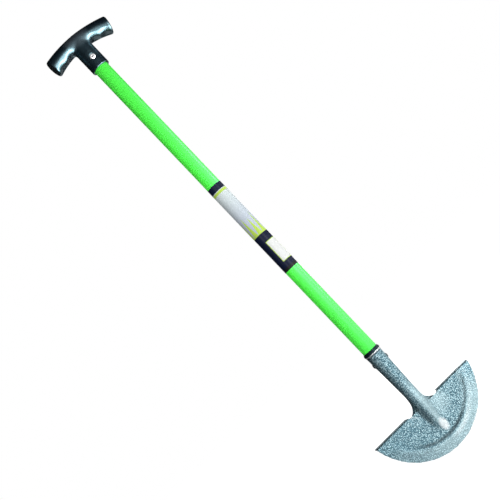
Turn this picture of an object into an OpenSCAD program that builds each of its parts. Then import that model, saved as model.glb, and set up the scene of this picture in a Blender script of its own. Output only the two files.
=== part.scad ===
// Half-moon lawn edger: a pressed steel head with a rolled socket, on a plastic-coated tube with a
// moulded T-handle. Lengths are millimetres. The shaft's axis is Z, the blade's face looks along -Y,
// and Z = 0 is the lowest point of the cutting edge.

/* [Overall] */
// Height from the cutting edge to the top of the handle
overall_len = 930; // [860:1:1050]

/* [Blade] */
// Width of the blade from tip to tip
blade_w = 210; // [190:1:240]
// Height of the blade from the cutting edge to the top of the treads
blade_h = 86; // [80:1:98]
// Thickness of the steel sheet
sheet_t = 1.8; // [1.4:0.1:2.2]
// Thickness left at the ground cutting edge
edge_t = 0.6; // [0.4:0.1:1]
// Width of the bevel ground along the cutting edge
bevel_w = 4; // [2:0.5:7]
// Width of the raised band along the cutting edge
band_w = 20; // [14:0.5:24]
// How far the band stands in front of the dished field
band_raise = 2.4; // [0.5:0.1:4]
// How far the band falls back from its inner edge to the cutting edge
band_fall = 1.2; // [0:0.1:2]
// Width of the pressed step between the field and the band
step_w = 8; // [4:0.5:9]
// How far the turned treads reach back from the blade's face
tread_depth = 13; // [8:0.5:18]
// Outside radius of the bend under each tread
tread_bend_r = 2.8; // [2.4:0.1:4.5]
// Distance from the axis to the inner end of each tread, at its bend line
tread_inner = 30; // [30:0.5:45]
// How far the inner end of each tread is cut back on the way up its bend
tread_slant = 5; // [0:0.5:8]

/* [Frog] */
// Width of the pressed ridge where it leaves the neck
ridge_w = 31; // [26:0.5:38]
// Height of the ridge above the field where it leaves the neck
ridge_h = 9.6; // [7:0.1:12]
// Length of the ridge below the treads' bend line
ridge_len = 49; // [35:0.5:55]
// Width of the ridge at its nose
nose_w = 20; // [14:0.5:26]
// Height of the ridge where its nose starts to fall
nose_h = 4.6; // [2:0.1:7]
// Length over which the nose runs out into the field
nose_len = 14; // [8:0.5:20]

/* [Socket] */
// Length of the socket from the top of the treads to its mouth
socket_len = 113; // [95:1:130]
// Outside diameter of the neck below the socket
neck_d = 23.6; // [22:0.1:25]
// Height of the fillet that flares the neck into the blade
fillet_h = 31; // [22:0.5:36]
// Distance from the axis to the foot of that fillet
fillet_x = 27.5; // [24:0.5:28]
// Gap of the open seam down the back of the socket
seam_gap = 1.6; // [0.8:0.1:3]
// Height of the bead pressed round the mouth
bead_h = 3.6; // [2:0.1:5]
// How far the bead stands out
bead_out = 0.5; // [0.2:0.1:1]

/* [Shaft] */
// Outside diameter of the steel tube
tube_d = 25.4; // [24:0.1:27]
// Wall of the steel tube
tube_wall = 1.2; // [0.8:0.1:1.8]
// Thickness of the plastic coat on the tube
coat_t = 0.8; // [0.5:0.1:1.2]
// How far the tube is driven into the socket
tube_in_socket = 74; // [50:1:76]

/* [Label] */
// Height of the label's lower edge above the socket's mouth
label_lift = 189; // [120:1:260]
// Length of the label along the shaft
label_len = 187; // [120:1:240]
// Thickness of the label film
label_t = 0.2; // [0.15:0.05:0.3]
// Gap left between the label's two ends at the back
label_gap = 4; // [2:0.5:12]

/* [Collar] */
// Outside diameter of the collar on the socket's mouth
collar_d = 31.4; // [30:0.1:34]
// Height of the collar's flange
collar_h = 4; // [3:0.1:6]
// Height of the thin lip above the flange
lip_h = 2; // [1:0.1:4]
// Wall of the lip round the coat
lip_wall = 0.9; // [0.6:0.1:1.4]
// Thickness of the collar's floor, which the coat stands on
collar_floor = 2; // [1.2:0.1:2.8]
// Chamfer on the collar's edges
collar_chamfer = 0.7; // [0.3:0.1:1]

/* [Handle] */
// Length of the handle's bar from end to end
bar_len = 124; // [112:1:145]
// Height of the bar at its middle
bar_d = 28.8; // [26:0.1:31]
// Diameter of the bar at its ends
bar_end_d = 33.2; // [28:0.1:36]
// How far the bar's ends droop below its middle
bar_droop = 10.2; // [5:0.1:14]
// Radius that rounds the bar's ends
bar_end_r = 3; // [1.5:0.1:5]
// Outside diameter of the hub that takes the shaft
hub_d = 34; // [32:0.1:36]
// Length of the hub from its mouth to the underside of the bar
hub_len = 47; // [42:0.5:56]
// Depth of the bore in the hub
bore_depth = 52; // [44:0.5:56]
// Distance from the axis to the first finger groove
finger_first = 25; // [22:0.5:28]
// Spacing of the finger grooves along each arm
finger_pitch = 23.5; // [19:0.5:26]
// Radius of each finger groove
finger_r = 48; // [36:0.5:60]
// Depth of each finger groove under the middle of the bar
finger_depth = 1.5; // [0.8:0.1:3]
// Angle by which the grooves deepen towards the front of the bar
finger_tilt = 7; // [4:1:14]
// Radius of the web that flares the hub into the arms
web_r = 5; // [2:0.1:7]

/* [Rivets] */
// Shank diameter of the rivet through the socket
head_rivet_d = 5; // [4:0.1:6]
// Diameter of that rivet's two heads
head_rivet_head_d = 8; // [7.4:0.1:10]
// Height of the dome on those heads
head_rivet_head_h = 1.2; // [1:0.1:2.5]
// Height of the straight rim under the dome of those heads
head_rivet_rim = 0.4; // [0.2:0.1:0.8]
// Distance of that rivet below the socket's mouth
head_rivet_drop = 18; // [12:0.5:30]
// Shank diameter of the blind rivet in the handle
blind_d = 4.8; // [4:0.1:5.6]
// Diameter of the blind rivet's flange
blind_flange_d = 10; // [9:0.1:12]
// Height of the blind rivet's domed flange
blind_flange_h = 1.5; // [1:0.1:2.2]
// Diameter of the bulb on the blind side
blind_bulb_d = 7.4; // [6.6:0.1:8.4]
// Length of that bulb
blind_bulb_len = 5; // [3:0.1:7]
// Diameter of the mandrel left in the blind rivet
mandrel_d = 2.7; // [2:0.1:3]
// Diameter of the mandrel's head
mandrel_head_d = 4.2; // [3.8:0.1:5]
// How deep the mandrel broke off below the flange's crown
mandrel_recess = 1.2; // [0.5:0.1:2]
// Height of the blind rivet above the hub's mouth
blind_lift = 20; // [18:0.5:34]
// Depth of the flat seat for the blind rivet's flange
seat_depth = 1; // [0.6:0.1:1.6]

/* [Fits] */
// Radial gap between the tube and the rolled socket
socket_fit = 0.15; // [0.1:0.05:0.3]
// Radial gap of the handle's bore and the collar round the shaft
bore_fit = 0.15; // [0.1:0.05:0.3]
// Radial gap between the tube, its coat and the label
skin_fit = 0.05; // [0.04:0.01:0.1]
// Radial gap of a rivet in its hole
rivet_fit = 0.1; // [0.05:0.05:0.2]

/* [Hidden] */

// Overrun that takes every cut clear of the faces it opens
overrun = 1;
// Segments of the round parts
round_fn = 96;

// Radii that the pieces share
tube_r = tube_d/2;
coat_in_r = tube_r + skin_fit;
coat_r = coat_in_r + coat_t;
mouth_r = tube_r + socket_fit + sheet_t;
neck_r = neck_d/2;
hub_r = hub_d/2;

// Heights that the pieces share
relief_z = blade_h - tread_bend_r;
neck_z = relief_z + fillet_h;
mouth_z = blade_h + socket_len;
socket_rise = mouth_z - neck_z;
tube_bottom_z = mouth_z - tube_in_socket;
coat_bottom_z = mouth_z + collar_floor;
label_z = mouth_z + label_lift;
bar_z = overall_len - bar_d/2;
hub_z = bar_z - bar_d/2 - hub_len;
tube_top_z = hub_z + bore_depth;
head_rivet_z = mouth_z - head_rivet_drop;
blind_z = hub_z + blind_lift;

// The cutting edge is one arc through both tips and the lowest point
edge_r = (pow(blade_w/2, 2) + pow(blade_h, 2))/(2*blade_h);
edge_x = sqrt(pow(edge_r, 2) - pow(edge_r - relief_z, 2));
edge_a = acos((edge_r - relief_z)/edge_r);
// Front face of the blade: its mid-plane holds the shaft's axis
face_y = -sheet_t/2;
// Height below the bend line over which the pressed step fades in
step_fade_h = 14;

// Rows and columns of the pressed sheet
sheet_columns = 48;
socket_bead_rows = 6;
neck_rows = 10;
relief_rows = 2;
field_rows = 12;
step_rows = 4;
band_rows = 3;
bevel_rows = 2;
bend_columns = 4;
// Share of an even spacing that the columns keep at the blade's middle
middle_share = 0.55;
// Share of the sheet's half width that stays on the front of the neck
side_share = 0.7;
// Share of a plain sweep's power with which the neck's edges flare
flare_share = 0.6;

function mix(a, b, t) = a + (b - a)*t;
function clamp01(t) = max(0, min(1, t));
function ease(t) = let (c = clamp01(t)) c*c*(3 - 2*c);
function spread(q) = middle_share*q + (1 - middle_share)*pow(q, 3);
function unit(v) = v/norm(v);

// Outside radius of the rolled socket at a height
function socket_r(z) = mix(neck_r, mouth_r, clamp01((z - neck_z)/socket_rise));

// Ridge of the frog above the field, at x and at a depth below the bend line
ridge_run = ridge_len - nose_len;
function ridge_share(x, half) = abs(x) < half ? pow(1 - pow(x/half, 2), 1.5) : 0;
function ridge(x, drop) =
    let (along = clamp01(drop/ridge_run),
         half = mix(ridge_w, nose_w, along)/2,
         top = mix(ridge_h, nose_h, along)*(1 - ease((drop - ridge_run)/nose_len)))
    top*ridge_share(x, half);

// The blade's rows are arcs that grow from the bend line at u = 0 to the cutting edge at u = 1
tread_u = (tread_inner - fillet_x)/(edge_x - fillet_x);
step_u = 1 - (band_w + step_w)/relief_z;
band_u = 1 - band_w/relief_z;
bevel_u = 1 - bevel_w/relief_z;
function row_half(u) = mix(fillet_x, edge_x, u);
function band_share(u) = ease((u - step_u)/(band_u - step_u));
function step_fade(drop) = ease(drop/step_fade_h);
function blade_point(u, q) =
    let (a = edge_a*spread(q),
         x = row_half(u)*sin(a)/sin(edge_a),
         drop = relief_z*u*(cos(a) - cos(edge_a))/(1 - cos(edge_a)),
         band = band_raise*band_share(u) - band_fall*clamp01((u - band_u)/(1 - band_u)),
         front = ridge(x, drop) + band*step_fade(drop))
    [x, face_y - front, relief_z - drop];

// The socket is a rolled sheet, open at the seam down its back
function socket_point(r, z, q) =
    let (a = q*(180 - asin(seam_gap/2/r)))
    [r*sin(a), -r*cos(a), z];

// The neck unrolls the socket into the blade: its front runs on down the ridge while its edges sweep
// out along the fillet
function neck_point(turn, q) =
    let (rise = 1 - cos(turn),
         z = relief_z + fillet_h*rise,
         rolled = socket_point(socket_r(z), z, q),
         flat = blade_point(0, q),
         open = mix(pow(1 - rise, 2), pow(1 - sin(turn), flare_share), ease(abs(q)/side_share)))
    [mix(rolled.x, flat.x, open), mix(rolled.y, flat.y, open), z];

// Each tread is the sheet's top edge turned back through a right angle
function tread_point(u, side, k) =
    let (share = min(k, bend_columns)/bend_columns,
         turn = 90*share,
         back = k > bend_columns ? tread_depth : tread_bend_r*(1 - cos(turn)),
         x = mix(tread_inner + tread_slant*share, edge_x, (u - tread_u)/(1 - tread_u)))
    [side*x, face_y + back, relief_z + tread_bend_r*sin(turn)];

tread_columns = bend_columns + 1;
q_list = [for (j = [0:sheet_columns]) 2*j/sheet_columns - 1];
bead_profile = [for (k = [0:socket_bead_rows])
    let (share = k/socket_bead_rows) [bead_out*(1 - cos(360*share))/2, mouth_z - bead_h*share]];
open_rows = concat(
    [for (p = bead_profile) [for (q = q_list) socket_point(socket_r(p[1]) + p[0], p[1], q)]],
    [for (k = [0:neck_rows - 1]) [for (q = q_list) neck_point(90*(1 - k/neck_rows), q)]],
    [for (k = [0:relief_rows - 1]) [for (q = q_list) blade_point(tread_u*k/relief_rows, q)]]);
blade_us = concat(
    [for (k = [0:field_rows - 1]) mix(tread_u, step_u, k/field_rows)],
    [for (k = [0:step_rows - 1]) mix(step_u, band_u, k/step_rows)],
    [for (k = [0:band_rows - 1]) mix(band_u, bevel_u, k/band_rows)],
    [for (k = [0:bevel_rows]) mix(bevel_u, 1, k/bevel_rows)]);
tread_rows = [for (u = blade_us) concat(
    [for (k = [tread_columns:-1:1]) tread_point(u, -1, k)],
    [for (q = q_list) blade_point(u, q)],
    [for (k = [1:tread_columns]) tread_point(u, 1, k)])];

open_n = len(open_rows);
row_n = open_n + len(tread_rows);
open_width = sheet_columns + 1;
tread_width = open_width + 2*tread_columns;
point_n = open_n*open_width + len(tread_rows)*tread_width;

// A row above the treads has no columns for them
function first_column(i) = i < open_n ? tread_columns : 0;
function has_point(i, j) =
    i >= 0 && i < row_n && j >= first_column(i) && j < tread_width - first_column(i);
function has_cell(i, j) = has_point(i, j) && has_point(i, j + 1)
    && has_point(i + 1, j) && has_point(i + 1, j + 1);
function sheet_point(i, j) =
    i < open_n ? open_rows[i][j - tread_columns] : tread_rows[i - open_n][j];
function point_or(i, j, other) = has_point(i, j) ? sheet_point(i, j) : other;
function point_id(i, j) =
    i < open_n ? i*open_width + j - tread_columns : open_n*open_width + (i - open_n)*tread_width + j;

// Direction from the sheet's front face to its back face
function sheet_normal(i, j) =
    let (p = sheet_point(i, j),
         along = point_or(i + 1, j, p) - point_or(i - 1, j, p),
         across = point_or(i, j + 1, p) - point_or(i, j - 1, p))
    unit(cross(across, along));
// The sheet thins to the ground edge over the bevel
function sheet_depth(i, j) =
    let (u = i < open_n ? 0 : blade_us[i - open_n],
         drop = relief_z - sheet_point(i, j).z)
    mix(sheet_t, edge_t, clamp01((u - bevel_u)/(1 - bevel_u))*step_fade(drop));

sheet_ids = [for (i = [0:row_n - 1], j = [0:tread_width - 1]) if (has_point(i, j)) [i, j]];
sheet_front = [for (id = sheet_ids) sheet_point(id[0], id[1])];
sheet_back = [for (id = sheet_ids)
    sheet_point(id[0], id[1]) + sheet_depth(id[0], id[1])*sheet_normal(id[0], id[1])];

function two_triangles(a, b, c, d) = [[a, b, c], [a, c, d]];
// A cell's diagonal leans the same way on both sides of the middle
function cell_triangles(j, a, b, c, d) =
    j < tread_width/2 - 1 ? two_triangles(a, b, c, d) : two_triangles(b, c, d, a);
sheet_faces = [for (i = [0:row_n - 1], j = [0:tread_width - 1])
    let (here = point_id(i, j), right = point_id(i, j + 1), below = point_id(i + 1, j),
         corner = point_id(i + 1, j + 1), cell = has_cell(i, j))
    each concat(
        cell ? cell_triangles(j, here, right, corner, below) : [],
        cell ? cell_triangles(j, here + point_n, below + point_n, corner + point_n, right + point_n) : [],
        cell && !has_cell(i - 1, j) ? two_triangles(here, here + point_n, right + point_n, right) : [],
        cell && !has_cell(i + 1, j) ? two_triangles(below, corner, corner + point_n, below + point_n) : [],
        cell && !has_cell(i, j - 1) ? two_triangles(here, below, below + point_n, here + point_n) : [],
        cell && !has_cell(i, j + 1)
            ? two_triangles(right, right + point_n, corner + point_n, corner) : [])];

// A rod along X through the head, at the height of its rivet
module across_head(d, length) {
    translate([0, 0, head_rivet_z]) rotate([0, 90, 0])
        cylinder(d = d, h = length, center = true, $fn = round_fn);
}

module blade_head() {
    color("slategray") difference() {
        polyhedron(points = concat(sheet_front, sheet_back), faces = sheet_faces);
        across_head(head_rivet_d + 2*rivet_fit, 2*mouth_r + 2*overrun);
    }
}

// A domed head is the cap of a ball that has the head's diameter at its base
module domed_head(d, h) {
    ball_r = (pow(d/2, 2) + pow(h, 2))/(2*h);
    intersection() {
        translate([0, 0, h - ball_r]) sphere(r = ball_r, $fn = round_fn);
        cylinder(d = d, h = h, $fn = round_fn);
    }
}

// A head of the rivet, set down on the taper of the socket
module seated_head(side) {
    base_x = neck_r;
    skirt = socket_r(head_rivet_z + head_rivet_head_d/2) + rivet_fit + head_rivet_rim - base_x;
    difference() {
        translate([side*base_x, 0, head_rivet_z]) rotate([0, side*90, 0]) {
            cylinder(d = head_rivet_head_d, h = skirt, $fn = round_fn);
            translate([0, 0, skirt]) domed_head(head_rivet_head_d, head_rivet_head_h);
        }
        translate([0, 0, neck_z]) rotate([0, 0, 90])
            cylinder(r1 = neck_r + rivet_fit, r2 = mouth_r + rivet_fit, h = socket_rise, $fn = round_fn);
    }
}

module head_rivet() {
    color("slategray") {
        across_head(head_rivet_d, 2*socket_r(head_rivet_z) + head_rivet_head_h);
        seated_head(-1);
        seated_head(1);
    }
}

// The collar stands on the socket's mouth and its lip hides the lower end of the coat
module collar() {
    flange_r = collar_d/2;
    lip_r = coat_r + bore_fit + lip_wall;
    color("black") translate([0, 0, mouth_z]) rotate_extrude($fn = round_fn) polygon([
        [tube_r + bore_fit, 0],
        [flange_r - collar_chamfer, 0],
        [flange_r, collar_chamfer],
        [flange_r, collar_h - collar_chamfer],
        [flange_r - collar_chamfer, collar_h],
        [lip_r, collar_h],
        [lip_r, collar_h + lip_h - collar_chamfer],
        [lip_r - collar_chamfer/2, collar_h + lip_h],
        [coat_r + bore_fit, collar_h + lip_h],
        [coat_r + bore_fit, collar_floor],
        [tube_r + bore_fit, collar_floor]]);
}

// Outside radius of the tube: swaged to the socket's taper below the mouth
function swaged_r(z) = socket_r(z) - sheet_t - socket_fit;

module shaft_tube() {
    bottom_r = swaged_r(tube_bottom_z);
    color("silver") difference() {
        rotate_extrude($fn = round_fn) polygon([
            [bottom_r - tube_wall, tube_bottom_z],
            [bottom_r, tube_bottom_z],
            [tube_r, mouth_z],
            [tube_r, tube_top_z],
            [tube_r - tube_wall, tube_top_z],
            [tube_r - tube_wall, mouth_z]]);
        across_head(head_rivet_d + 2*rivet_fit, 2*mouth_r);
        blind_hole(blind_d + 2*rivet_fit, hub_r);
    }
}

module shaft_coat() {
    color("limegreen") difference() {
        translate([0, 0, coat_bottom_z])
            cylinder(r = coat_r, h = tube_top_z - coat_bottom_z, $fn = round_fn);
        translate([0, 0, coat_bottom_z - overrun])
            cylinder(r = coat_in_r, h = tube_top_z - coat_bottom_z + 2*overrun, $fn = round_fn);
        blind_hole(blind_d + 2*rivet_fit, hub_r);
    }
}

module label() {
    film_r = coat_r + skin_fit;
    wrap = 360 - label_gap/film_r*180/PI;
    color("white") translate([0, 0, label_z]) rotate([0, 0, 90 + (360 - wrap)/2])
        rotate_extrude(angle = wrap, $fn = round_fn) translate([film_r, 0]) square([label_t, label_len]);
}

// A hole along Y from the front into the shaft, at the height of the handle's rivet
module blind_hole(d, depth) {
    translate([0, 0, blind_z]) rotate([90, 0, 0]) cylinder(d = d, h = depth + overrun, $fn = round_fn);
}

// The bar is lofted through round sections on an arc, which grow towards its rounded ends
bar_sides = 36;
bar_stations = 28;
bar_end_rings = 4;
// Share of the arc's turn by which the sections lean
lean_share = 0.5;
// How far the bar's middle stands in front of the hub and behind it
bar_over_hub = 0.4;
bar_half = bar_len/2 - bar_end_r;
bow_r = (pow(bar_half, 2) + pow(bar_droop, 2))/(2*bar_droop);
bow_a = asin(bar_half/bow_r);

function bar_height_r(p) = mix(bar_d, bar_end_d, p*p)/2;
function bar_depth_r(p) = mix(hub_r + bar_over_hub, bar_end_d/2, ease(2*abs(p)));
function bar_centre(p) = [bow_r*sin(p*bow_a), 0, bar_z - bow_r*(1 - cos(p*bow_a))];
// One section at station p, drawn in by inset and moved out along the bar by shift
function bar_ring(p, inset, shift) =
    let (c = bar_centre(p), lean = lean_share*p*bow_a,
         up = [sin(lean), 0, cos(lean)], out = [cos(lean), 0, -sin(lean)],
         height_r = bar_height_r(p) - inset, depth_r = bar_depth_r(p) - inset)
    [for (k = [0:bar_sides - 1])
        let (a = 360*k/bar_sides) c + shift*out + height_r*cos(a)*up + [0, depth_r*sin(a), 0]];
function end_ring(side, turn) =
    bar_ring(side, bar_end_r*(1 - cos(turn)), side*bar_end_r*sin(turn));
bar_rings = concat(
    [for (k = [bar_end_rings:-1:1]) end_ring(-1, 90*k/bar_end_rings)],
    [for (k = [0:bar_stations]) bar_ring(2*k/bar_stations - 1, 0, 0)],
    [for (k = [1:bar_end_rings]) end_ring(1, 90*k/bar_end_rings)]);
bar_last = len(bar_rings) - 1;
bar_faces = concat(
    [for (k = [1:bar_sides - 2]) [0, k + 1, k]],
    [for (k = [1:bar_sides - 2]) [0, k, k + 1] + bar_last*bar_sides*[1, 1, 1]],
    [for (i = [0:bar_last - 1], k = [0:bar_sides - 1])
        let (next = (k + 1) % bar_sides)
        each two_triangles(i*bar_sides + next, (i + 1)*bar_sides + next,
                           (i + 1)*bar_sides + k, i*bar_sides + k)]);

// A finger groove across the underside of the bar, at a distance from the axis
module finger_groove(x) {
    turn = asin(x/bow_r);
    p = turn/bow_a;
    below = bar_height_r(p) - finger_depth + finger_r;
    translate(bar_centre(p) - below*[sin(turn), 0, cos(turn)]) rotate([90 - finger_tilt, 0, 0])
        cylinder(r = finger_r, h = bar_end_d + hub_d, center = true, $fn = round_fn);
}

// The web grows out of both sides of the hub, with a fillet under each arm
web_sides = 40;
web_rings = 5;
// How far inside the hub the web starts
web_sink = 0.2;
web_top_z = bar_z;
web_bend_z = bar_z - bar_d/2;
function web_ring(wide, z) = [for (k = [0:web_sides - 1])
    let (a = 360*k/web_sides, r = hub_r - web_sink) [(r + wide*pow(cos(a), 4))*cos(a), r*sin(a), z]];
web_points = concat(
    [for (k = [0:web_rings]) let (turn = 90*k/web_rings)
        each web_ring(web_r*(1 - cos(turn)), web_bend_z - web_r*(1 - sin(turn)))],
    web_ring(web_r, web_top_z));
web_last = web_rings + 1;
web_faces = concat(
    [for (k = [1:web_sides - 2]) [0, k, k + 1]],
    [for (k = [1:web_sides - 2]) [0, k + 1, k] + web_last*web_sides*[1, 1, 1]],
    [for (i = [0:web_last - 1], k = [0:web_sides - 1])
        let (next = (k + 1) % web_sides)
        each two_triangles(i*web_sides + k, (i + 1)*web_sides + k,
                           (i + 1)*web_sides + next, i*web_sides + next)]);

module handle() {
    color("#202326") difference() {
        union() {
            difference() {
                polyhedron(points = [for (ring = bar_rings) each ring], faces = bar_faces);
                for (side = [-1, 1], k = [0, 1]) finger_groove(side*(finger_first + k*finger_pitch));
            }
            polyhedron(points = web_points, faces = web_faces);
            translate([0, 0, hub_z]) cylinder(r = hub_r, h = web_top_z - hub_z, $fn = round_fn);
        }
        translate([0, 0, hub_z - overrun])
            cylinder(r = coat_r + bore_fit, h = bore_depth + overrun, $fn = round_fn);
        blind_hole(blind_d + 2*rivet_fit, hub_r);
        translate([0, seat_depth - hub_r, 0]) blind_hole(blind_flange_d + 2*bore_fit + overrun, hub_r);
    }
}

// The blind rivet's flange sits on the flat seat and its bulb grips inside the tube
bulb_y = -sqrt(pow(tube_r - tube_wall, 2) - pow(blind_bulb_d/2, 2)) + skin_fit;
seat_y = seat_depth - hub_r;

module blind_rivet() {
    color("gainsboro") translate([0, 0, blind_z]) rotate([90, 0, 0]) difference() {
        union() {
            translate([0, 0, -seat_y]) domed_head(blind_flange_d, blind_flange_h);
            translate([0, 0, -bulb_y - blind_bulb_len])
                cylinder(d = blind_d, h = bulb_y - seat_y + blind_bulb_len, $fn = round_fn);
            translate([0, 0, -bulb_y - blind_bulb_len])
                cylinder(d1 = blind_d, d2 = blind_bulb_d, h = blind_bulb_len, $fn = round_fn);
        }
        translate([0, 0, -bulb_y - blind_bulb_len - overrun])
            cylinder(d = mandrel_d + 2*rivet_fit,
                     h = bulb_y - seat_y + blind_bulb_len + blind_flange_h + 2*overrun, $fn = round_fn);
    }
}

module rivet_mandrel() {
    stem_top = blind_flange_h - seat_y - mandrel_recess;
    stem_bottom = -bulb_y - blind_bulb_len;
    color("dimgray") translate([0, 0, blind_z]) rotate([90, 0, 0]) {
        translate([0, 0, stem_bottom]) cylinder(d = mandrel_d, h = stem_top - stem_bottom, $fn = round_fn);
        difference() {
            translate([0, 0, stem_bottom]) sphere(d = mandrel_head_d, $fn = round_fn);
            translate([0, 0, stem_bottom]) cylinder(d = mandrel_head_d, h = mandrel_head_d, $fn = round_fn);
        }
    }
}

blade_head();
head_rivet();
collar();
shaft_tube();
shaft_coat();
label();
handle();
blind_rivet();
rivet_mandrel();
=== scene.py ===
"""Looks of a half-moon lawn edger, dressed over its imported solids.

Lengths are metres in the frame of the solids: Z runs up the shaft, the blade's face looks along -Y.
"""

import logging
import math
from collections.abc import Sequence
from dataclasses import dataclass
from enum import Enum
from functools import reduce

import bmesh
import bpy
from mathutils import Matrix, Vector


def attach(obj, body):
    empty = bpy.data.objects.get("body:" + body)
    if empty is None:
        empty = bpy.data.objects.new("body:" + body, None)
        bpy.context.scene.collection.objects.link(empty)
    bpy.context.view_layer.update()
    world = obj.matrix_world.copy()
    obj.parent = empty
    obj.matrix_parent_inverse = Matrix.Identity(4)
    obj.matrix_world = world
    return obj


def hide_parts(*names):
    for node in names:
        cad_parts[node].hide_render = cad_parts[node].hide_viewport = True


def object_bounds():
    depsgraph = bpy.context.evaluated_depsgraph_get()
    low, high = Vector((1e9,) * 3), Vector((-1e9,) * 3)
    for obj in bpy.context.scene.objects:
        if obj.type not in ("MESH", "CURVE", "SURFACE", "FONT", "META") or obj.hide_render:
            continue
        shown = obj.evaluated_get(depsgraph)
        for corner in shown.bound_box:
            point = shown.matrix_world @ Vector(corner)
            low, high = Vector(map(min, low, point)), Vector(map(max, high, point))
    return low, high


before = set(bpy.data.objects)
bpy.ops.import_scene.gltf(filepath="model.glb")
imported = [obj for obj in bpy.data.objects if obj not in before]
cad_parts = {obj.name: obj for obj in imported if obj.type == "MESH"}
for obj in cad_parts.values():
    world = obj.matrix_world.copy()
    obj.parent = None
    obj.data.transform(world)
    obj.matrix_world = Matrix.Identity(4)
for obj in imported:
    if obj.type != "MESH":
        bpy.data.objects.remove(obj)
CAD_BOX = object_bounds()

MM = 0.001
FULL_TURN = 2.0 * math.pi
WELD = 0.002 * MM
SHARP_ANGLE = math.radians(38.0)
MOUTH_Z = 199.0 * MM
LABEL_Z = 388.0 * MM
LABEL_LEN = 187.0 * MM
BODY = "root"
LOG = logging.getLogger("edger")

Colour = tuple[float, float, float]
Point = tuple[float, float, float]
Pair = tuple[float, float]
Socket = bpy.types.NodeSocket
Feed = Socket | float | Sequence[float]

# Numbers that Graph.span or Graph.window takes after the value
Levels = tuple[float, ...]


class Axis(Enum):
    """Axis that a turned piece is spun about."""

    SHAFT = (0.0, 0.0, 1.0)
    FRONT = (0.0, -1.0, 0.0)


def mm(*lengths: float) -> tuple[float, ...]:
    """Lengths that are given in millimetres."""
    return tuple(length * MM for length in lengths)


def smooth_step(value: float, low: float, high: float) -> float:
    """Smooth rise from 0 at low to 1 at high."""
    share = min(max((value - low) / (high - low), 0.0), 1.0)
    return share * share * (3.0 - 2.0 * share)


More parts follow.
